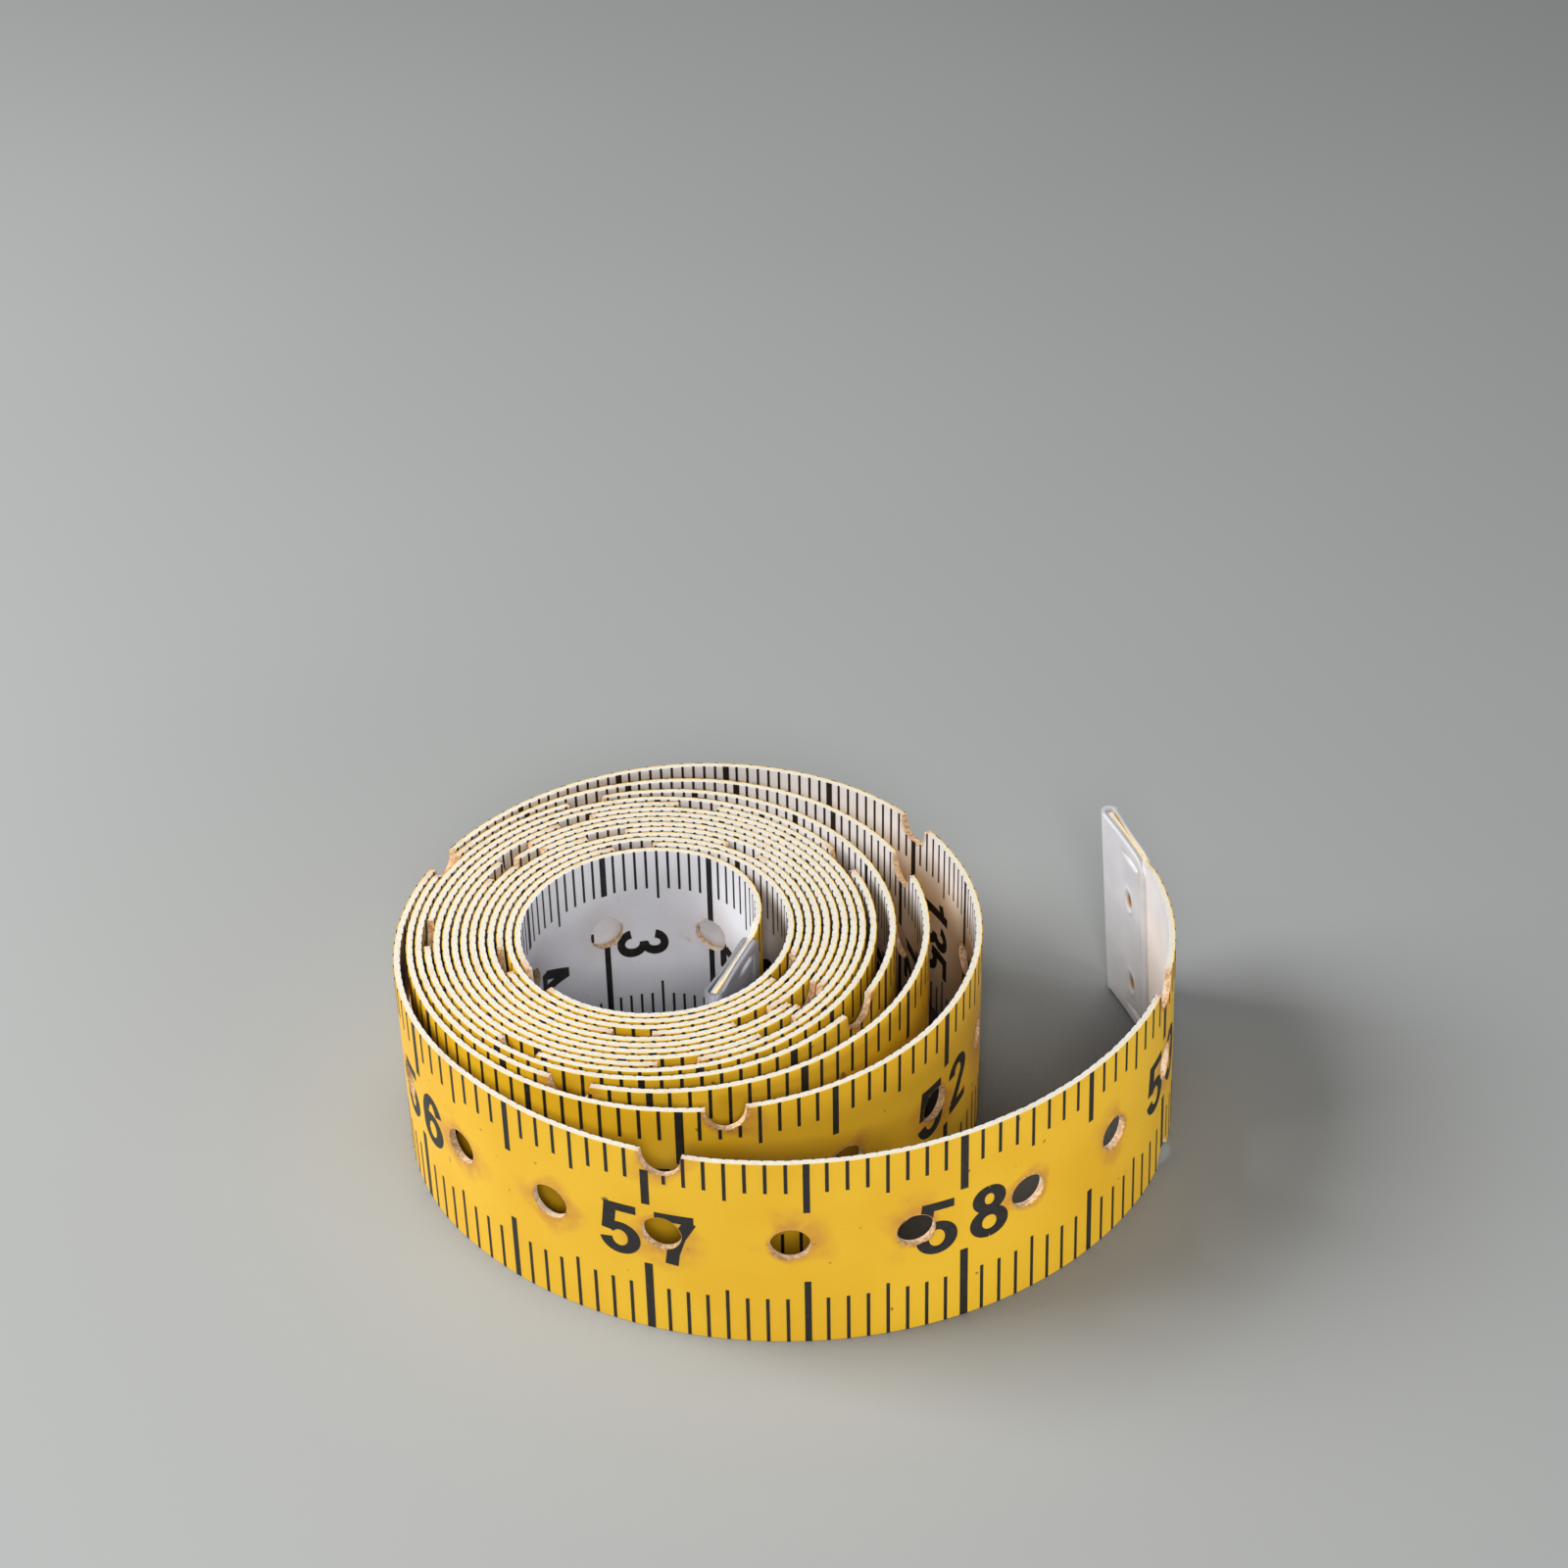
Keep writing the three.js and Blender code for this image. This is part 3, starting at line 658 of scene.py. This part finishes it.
class Finish:
    """The node tree of one finish, with short calls for the nodes that it uses."""

    def __init__(self, name):
        self.material = bpy.data.materials.new(name)
        self.material.use_nodes = True
        self.tree = self.material.node_tree
        self.shader = self.tree.nodes["Principled BSDF"]

    def add(self, kind, inputs, **settings):
        node = self.tree.nodes.new(kind)
        for key, value in settings.items():
            setattr(node, key, value)
        for key, value in inputs.items():
            self.feed(node.inputs[key], value)
        return node

    def feed(self, socket, value):
        if isinstance(value, bpy.types.NodeSocket):
            self.tree.links.new(value, socket)
        else:
            socket.default_value = value

    def math(self, operation, *values):
        return self.add("ShaderNodeMath", dict(enumerate(values)), operation=operation).outputs[0]

    def tape_place(self):
        return self.add("ShaderNodeAttribute", {}, attribute_name="tape_place").outputs["Vector"]

    def object_place(self):
        return self.add("ShaderNodeTexCoord", {}).outputs["Object"]

    def stretched(self, vector, scale):
        return self.add("ShaderNodeMapping", {"Vector": vector, "Scale": scale}).outputs["Vector"]

    def noise(self, vector, scale, detail=3.0, roughness=0.55):
        inputs = {"Vector": vector, "Scale": scale, "Detail": detail, "Roughness": roughness}
        return self.add("ShaderNodeTexNoise", inputs).outputs["Fac"]

    def fade(self, value, start, end, low=0.0, high=1.0):
        inputs = {"Value": value, "From Min": start, "From Max": end, "To Min": low, "To Max": high}
        node = self.add("ShaderNodeMapRange", inputs, interpolation_type="SMOOTHSTEP")
        return node.outputs["Result"]

    def mix(self, factor, a, b):
        return self.add("ShaderNodeMix", {0: factor, 6: a, 7: b}, data_type="RGBA").outputs[2]

    def bump(self, height, distance, strength=1.0):
        inputs = {"Height": height, "Distance": distance, "Strength": strength}
        self.set(Normal=self.add("ShaderNodeBump", inputs).outputs["Normal"])

    def set(self, **values):
        for name, value in values.items():
            self.feed(self.shader.inputs[name.replace("_", " ")], value)

    def singe(self, spot):
        """Scorch round the openings: a ragged melted rim, and a halo that fades over a reach that
        wanders."""
        part = self.add("ShaderNodeSeparateXYZ", {"Vector": spot}).outputs
        counted = self.math("SUBTRACT", part[0], ROW_START)
        hole_s = self.math("WRAP", counted, HOLE_SPACING / 2, -HOLE_SPACING / 2)
        hole_z = self.math("SUBTRACT", part[1], HOLE_HEIGHT)
        notch_s = self.math("WRAP", counted, NOTCH_SPACING / 2, -NOTCH_SPACING / 2)
        notch_z = self.math("SUBTRACT", part[1], TAPE_WIDTH - NOTCH_SCORCH_DROP)
        reaches = []
        for ds, dz, radius in ((hole_s, hole_z, HOLE_RADIUS),
                               (notch_s, notch_z, NOTCH_HALF + NOTCH_SCORCH_EXTRA)):
            squares = self.math("ADD", self.math("MULTIPLY", ds, ds), self.math("MULTIPLY", dz, dz))
            reaches.append(self.math("SUBTRACT", self.math("SQRT", squares), radius))
        first, last = row(FIRST_HOLE, HOLE_SPACING), row(LAST_HOLE, HOLE_SPACING)
        close, far = SCORCH_PAST_ROW
        before = self.fade(part[0], first - far, first - close, UNSCORCHED, 0.0)
        after = self.fade(part[0], last + close, last + far, 0.0, UNSCORCHED)
        near = self.math("ADD", self.math("MINIMUM", *reaches), self.math("ADD", before, after))
        ragged = self.math("MULTIPLY_ADD", self.noise(spot, 1.7, 3.0), 0.7, near)
        reach = self.fade(self.noise(spot, 0.17, 1.0), 0.38, 0.66, 0.4, 3.0)
        halo = self.fade(self.math("DIVIDE", near, reach), 0.0, 1.0, 1.0, 0.0)
        patchy = self.fade(self.noise(spot, 0.8, 2.0), 0.3, 0.62, 0.45, 1.0)
        return self.fade(ragged, 0.33, 0.46, 1.0, 0.0), self.math("MULTIPLY", halo, patchy)

    def scorched(self, colour, spot, halo_share, rim_share):
        """A colour with its scorched places, and the rim as a mask."""
        rim, halo = self.singe(spot)
        crumbs = self.fade(self.noise(spot, 3.4, 2.0), 0.4, 0.62)
        toned = self.mix(self.math("MULTIPLY", halo, halo_share), colour, SCORCH)
        lip = self.mix(crumbs, LIP_DARK, LIP_PALE)
        return self.mix(self.math("MULTIPLY", rim, rim_share), toned, lip), rim


def srgb(red, green, blue):
    """Linear colour of an 8-bit screen colour."""
    c = np.array([red, green, blue]) / 255
    linear = np.where(c <= 0.04045, c / 12.92, ((c + 0.055) / 1.055) ** 2.4)
    return (*linear.tolist(), 1.0)


SCORCH = srgb(198, 128, 56)
LIP_DARK = srgb(182, 126, 72)
LIP_PALE = srgb(232, 196, 142)


def yellow_vinyl():
    """Warm yellow in soft clouds, with a fine grain, brown specks and scorched openings."""
    f = Finish("yellow_vinyl")
    spot = f.tape_place()
    cloud = f.noise(spot, 0.09, 2.0)
    grain = f.noise(spot, 3.2, 4.0, 0.6)
    colour = f.mix(f.fade(cloud, 0.3, 0.7), srgb(234, 180, 26), srgb(240, 190, 38))
    colour = f.mix(f.fade(grain, 0.55, 0.8, 0.0, 0.25), colour, srgb(226, 166, 22))
    specks = f.fade(f.noise(spot, 0.9, 1.0), 0.76, 0.8, 0.0, 0.8)
    colour = f.mix(specks, colour, srgb(130, 84, 30))
    colour, rim = f.scorched(colour, spot, 0.7, 0.75)
    f.set(Base_Color=colour, Roughness=f.fade(grain, 0.3, 0.7, 0.36, 0.5))
    f.bump(f.math("ADD", grain, f.math("MULTIPLY", rim, 2.0)), 0.03 * MM, 0.5)
    return f.material


def white_vinyl():
    """Cool white with stains, and a painted warm bounce light from the yellow faces on the outer
    turns, less of it near the upper edge."""
    f = Finish("white_vinyl")
    spot = f.tape_place()
    cloud = f.noise(spot, 0.12, 2.0)
    grain = f.noise(spot, 3.2, 4.0, 0.6)
    colour = f.mix(f.fade(cloud, 0.3, 0.7), srgb(220, 218, 222), srgb(231, 230, 233))
    stains = f.fade(f.noise(spot, 0.7, 3.0), 0.66, 0.8, 0.0, 0.5)
    colour = f.mix(stains, colour, srgb(196, 176, 150))
    part = f.add("ShaderNodeSeparateXYZ", {"Vector": spot}).outputs
    # Painted warm bounce light from the yellow faces: a warm tint on the outer turns, weaker
    # towards the outer end and near the upper edge
    warm_bounce = f.math("MULTIPLY", f.fade(part[0], *WARM_BOUNCE_RISE), f.fade(part[0], *WARM_BOUNCE_FALL, 0.6, 0.2))
    warm_bounce = f.math("MULTIPLY", warm_bounce, f.fade(part[1], *WARM_BOUNCE_HEIGHTS, 1.0, 0.15))
    colour = f.mix(warm_bounce, colour, srgb(246, 204, 140))
    colour, rim = f.scorched(colour, spot, 0.12, 0.5)
    f.set(Base_Color=colour, Roughness=f.fade(grain, 0.3, 0.7, 0.4, 0.55))
    f.bump(f.math("ADD", grain, f.math("MULTIPLY", rim, 2.0)), 0.03 * MM, 0.5)
    return f.material


def cream_cloth():
    """Cream threads along the ribbon, dirty in places and scorched at the openings."""
    f = Finish("cream_cloth")
    spot = f.tape_place()
    thread = f.noise(f.stretched(spot, (3.0, 9.0, 9.0)), 1.0, 3.0, 0.6)
    dirt = f.noise(spot, 0.35, 3.0)
    colour = f.mix(f.fade(thread, 0.35, 0.7), srgb(222, 213, 190), srgb(236, 231, 217))
    colour = f.mix(f.fade(dirt, 0.55, 0.8, 0.0, 0.5), colour, srgb(206, 184, 140))
    f.set(Base_Color=f.scorched(colour, spot, 0.4, 0.7)[0], Roughness=0.85)
    f.bump(thread, 0.04 * MM, 0.7)
    return f.material


def black_ink():
    """Black, worn to a brown grey in places."""
    f = Finish("black_ink")
    spot = f.tape_place()
    wear = f.noise(spot, 2.4, 4.0, 0.65)
    colour = f.mix(f.fade(wear, 0.45, 0.8), srgb(25, 23, 21), srgb(52, 47, 42))
    f.set(Base_Color=colour, Roughness=f.fade(wear, 0.3, 0.7, 0.4, 0.55))
    f.bump(wear, 0.01 * MM, 0.4)
    return f.material


def nickel(name, metallic):
    """Plated sheet with smears and fine rubbing, brass brown at the dents, and a brown line of
    painted shade along the free edge of each leaf.
    """
    f = Finish(name)
    spot = f.object_place()
    smear = f.noise(spot, 260.0, 2.0)
    rub = f.noise(f.stretched(spot, (9000.0, 9000.0, 900.0)), 1.0, 2.0)
    colour = f.mix(f.fade(smear, 0.3, 0.7), srgb(226, 227, 234), srgb(238, 238, 243))
    dent_and_edge_shade = f.add("ShaderNodeAttribute", {}, attribute_name="pierced_and_edge_shade").outputs["Fac"]
    # Brass brown at the dents, and a brown line of painted shade along the free edges
    colour = f.mix(f.fade(dent_and_edge_shade, 0.25, 0.8), colour, srgb(168, 122, 58))
    f.set(Base_Color=colour, Metallic=metallic, Roughness=f.fade(smear, 0.3, 0.75, 0.28, 0.38))
    f.bump(rub, 0.01 * MM, 0.05)
    return f.material


YELLOW = yellow_vinyl()
WHITE = white_vinyl()
CLOTH = cream_cloth()
INK = black_ink()
# Two copies of the plated sheet: the inner clip's is more metallic so that it renders darker,
# standing in for the shade it lies in
BRIGHT_NICKEL = nickel("bright_nickel", 0.35)
SHADED_NICKEL = nickel("shaded_nickel", 0.75)


# Pieces


def stretch(label, start, end):
    """The pieces of one stretch: cloth, the vinyl on each face, and the print on each face that has
    any there."""
    s = columns(start, end)
    layers = (("cloth", CLOTH, ribbon(s, -CLOTH_HALF, CLOTH_HALF)),
              ("yellow_face", YELLOW, ribbon(s, CLOTH_HALF, TAPE_HALF)),
              ("white_face", WHITE, ribbon(s, -TAPE_HALF, -CLOTH_HALF)),
              ("inch_print", INK, joined(inch_print(start, end))),
              ("centimetre_print", INK, joined(centimetre_print(start, end))))
    made = {}
    for key, finish, (spots, faces) in layers:
        if len(faces):
            points = on_tape(cut_aslant(spots))
            made[key] = make_piece(f"{label}_{key}", points, faces, finish, spots)
    low, high = opening(s)
    return made


def clip_leaf_depth(x, z):
    """Distance in from the edge of a leaf, a rectangle with round corners that is open at the
    fold."""
    dx = CLIP_CORNER - CLIP_LENGTH - x
    dz = np.abs(z - TAPE_WIDTH / 2) - (TAPE_WIDTH / 2 - CLIP_INSET - CLIP_CORNER)
    return (CLIP_CORNER - np.hypot(np.clip(dx, 0, None), np.clip(dz, 0, None))
            - np.minimum(np.maximum(dx, dz), 0))


def clip_section(z, half):
    """x and y of a clip's sheet at each height: a leaf from its free edge, which is rounded off at
    the corners, the swollen fold, and the other leaf back. x runs towards the fold, y square to the
    ribbon."""
    corner = np.clip(CLIP_CORNER - np.minimum(z - CLIP_INSET, TAPE_WIDTH - CLIP_INSET - z), 0, None)
    free = -CLIP_LENGTH + CLIP_CORNER - np.sqrt(np.clip(CLIP_CORNER**2 - corner**2, 0, None))
    leaf = free + (-CLIP_FOLD - free) * LEAF_SHARES
    swollen = half + CLIP_SWELL * np.exp(-(((leaf + CLIP_FOLD) / SWELL_REACH) ** 2))
    nose_x = -CLIP_FOLD + (half + CLIP_SWELL) * np.cos(FOLD_ANGLES) + 0 * z
    nose_y = (half + CLIP_SWELL) * np.sin(FOLD_ANGLES) + 0 * z
    return (np.concatenate([leaf, nose_x, leaf[:, ::-1]], 1),
            np.concatenate([swollen, nose_y, -swollen[:, ::-1]], 1))


def clip(name, s, at_start, body, finish):
    """A sheet folded round an end: a U carried up the width, with a pressed line inside the free
    edge of each leaf and two dents, each a hollow in a raised ring, that are marked to be coloured
    brass brown; the free edge of each leaf is marked too, for a brown line of painted shade."""
    z = np.linspace(CLIP_INSET, TAPE_WIDTH - CLIP_INSET, CLIP_ROWS)[:, None]
    x, y = clip_section(z, CLIP_HALF)
    depth = clip_leaf_depth(x, z)
    groove = np.exp(-(((depth - GROOVE_INSET) / GROOVE_HALF) ** 2))
    groove *= np.clip((-x - GROOVE_START) / GROOVE_EASE, 0, 1)
    press = -GROOVE_DEPTH * groove - EDGE_PRESS * np.clip(1 - depth / EDGE_REACH, 0, 1) ** 2
    pierced_and_edge_shade = np.zeros_like(x)
    for share in DENT_HEIGHTS:
        above = z - CLIP_INSET - share * (TAPE_WIDTH - 2 * CLIP_INSET)
        reach = np.hypot((x + DENT_REACH * CLIP_LENGTH) / DENT_LENGTH, above / DENT_HEIGHT)
        press -= DENT_DEPTH * np.exp(-((reach / HOLLOW_SHARE) ** 2))
        press += DENT_LIP * np.exp(-(((reach - 1.0) / LIP_SHARE) ** 2))
        pierced_and_edge_shade += np.exp(-((reach / PIERCED_SHARE) ** 2))
    # Painted shade: the free edge of each leaf is marked brown for the gap beneath it
    pierced_and_edge_shade[:, [0, -1]] = EDGE_SHADE
    leaf = x < -CLIP_FOLD - PRESS_START
    y = y + np.sign(y) * np.where(leaf, press, 0)
    way = -1 if at_start else 1
    fold_line = s - (0 if at_start else slant(z))
    spots = [np.stack([fold_line + way * sheet_x, z + 0 * x, -way * sheet_y], -1)
             for sheet_x, sheet_y in ((x, y), clip_section(z, CLIP_HALF - CLIP_SHEET))]
    points = on_tape(np.stack(spots)).reshape(-1, 3)
    made = make_piece(name, points, slab_quads(*x.shape), finish, crease=50)
    data = made.data.attributes.new("pierced_and_edge_shade", "FLOAT", "POINT").data
    marks = np.stack([np.where(leaf, pierced_and_edge_shade, 0), 0 * pierced_and_edge_shade])
    data.foreach_set("value", marks.ravel().astype(np.float32))
    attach(made, body)
    return made


coil = stretch("coil", CLOTH_SET_BACK, FIRST_SEAM)
for piece in coil.values():
    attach(piece, "coil")
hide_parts("coil_core")
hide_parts("coil_yellow_coat")
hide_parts("coil_white_coat")

for i in range(1, HINGES + 1):
    start = FIRST_SEAM + (i - 1) * SEAM_STEP
    tail = stretch(f"tail_{i}", start, start + SEAM_STEP)
    for piece in tail.values():
        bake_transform(piece)
    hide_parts(f"tail_core_{i}")
    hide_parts(f"tail_yellow_coat_{i}")
    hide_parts(f"tail_white_coat_{i}")

last = stretch("end", LAST_SEAM, TAPE_LENGTH - CLOTH_SET_BACK)
for piece in last.values():
    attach(piece, f"link_{HINGES}")

inner_end = clip("inner_end_clip", 0.0, True, "coil", SHADED_NICKEL)
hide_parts("inner_clip")
outer_end = clip("outer_end_clip", TAPE_LENGTH, False, f"link_{HINGES}", BRIGHT_NICKEL)
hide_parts("outer_clip")


# Floor, light and camera

def floor():
    """A wide plain floor, one flat grid, whose colour is darkened by painted shade where walls
    stand close round it.
    """
    f = Finish("floor_paper")
    cloud = f.noise(f.object_place(), 6.0, 2.0)
    paper = f.mix(f.fade(cloud, 0.3, 0.7), srgb(161, 163, 162), srgb(165, 167, 166))
    # Painted shade: the floor's colour goes to a dark grey where ambient occlusion finds walls
    # close by
    shade = f.add("ShaderNodeAmbientOcclusion", {"Distance": SHADE_REACH * MM}, samples=8)
    open_sky = shade.outputs["AO"]
    f.set(Base_Color=f.mix(f.fade(open_sky, 0.15, 0.7), srgb(64, 65, 65), paper), Roughness=0.75)
    side = np.linspace(-FLOOR_REACH, FLOOR_REACH, FLOOR_POINTS)
    x, y = np.meshgrid(side, side, indexing="ij")
    points = np.stack([x, y, 0 * x - FLOOR_DROP], -1).reshape(-1, 3)
    made = make_piece("floor", points, grid_quads(np.arange(x.size).reshape(x.shape)), f.material)


def lamp(name, place_mm, aim_mm, size_mm, power):
    """A square soft lamp that faces a point."""
    light = bpy.data.lights.new(name, "AREA")
    light.size = size_mm * MM
    light.energy = power
    made = bpy.data.objects.new(name, light)
    back = np.array(place_mm, float) - np.array(aim_mm, float)
    back /= np.linalg.norm(back)
    right = np.cross((0, 0, 1), back)
    right /= np.linalg.norm(right)
    turn = np.stack([right, np.cross(back, right), back], 1)
    made.matrix_world = Matrix.Translation(np.array(place_mm) * MM) @ Matrix(turn.tolist()).to_4x4()
    bpy.context.scene.collection.objects.link(made)


def camera():
    """A camera at the picture's place: level, then pitched down and rolled about its own line of
    sight."""
    ahead = np.array([0, np.cos(CAMERA_PITCH), -np.sin(CAMERA_PITCH)])
    right = np.array([1.0, 0, 0])
    up = np.cross(right, ahead)
    rolled = right * np.cos(CAMERA_ROLL) + up * np.sin(CAMERA_ROLL)
    raised = up * np.cos(CAMERA_ROLL) - right * np.sin(CAMERA_ROLL)
    data = bpy.data.cameras.new("camera")
    data.lens = LENS
    data.sensor_width = SENSOR
    data.clip_start = 10 * MM
    made = bpy.data.objects.new("camera", data)
    turn = Matrix(np.stack([rolled, raised, -ahead], 1).tolist()).to_4x4()
    made.matrix_world = Matrix.Translation(CAMERA_PLACE * MM) @ turn
    bpy.context.scene.collection.objects.link(made)
    bpy.context.scene.camera = made


def surroundings():
    """An even pale surround."""
    world = bpy.data.worlds.new("surround")
    world.use_nodes = True
    world.node_tree.nodes["Background"].inputs["Color"].default_value = srgb(236, 238, 240)
    world.node_tree.nodes["Background"].inputs["Strength"].default_value = 0.1
    bpy.context.scene.world = world


floor()
lamp("key", (-420, 30, 350), (-10, 0, 8), 330, 3.9)
lamp("front", (0, -490, 360), (0, 0, 9), 140, 1.55)
lamp("right", (440, -380, 80), (0, 0, 9), 260, 1.7)
camera()
surroundings()
bpy.context.scene.view_settings.view_transform = "Standard"
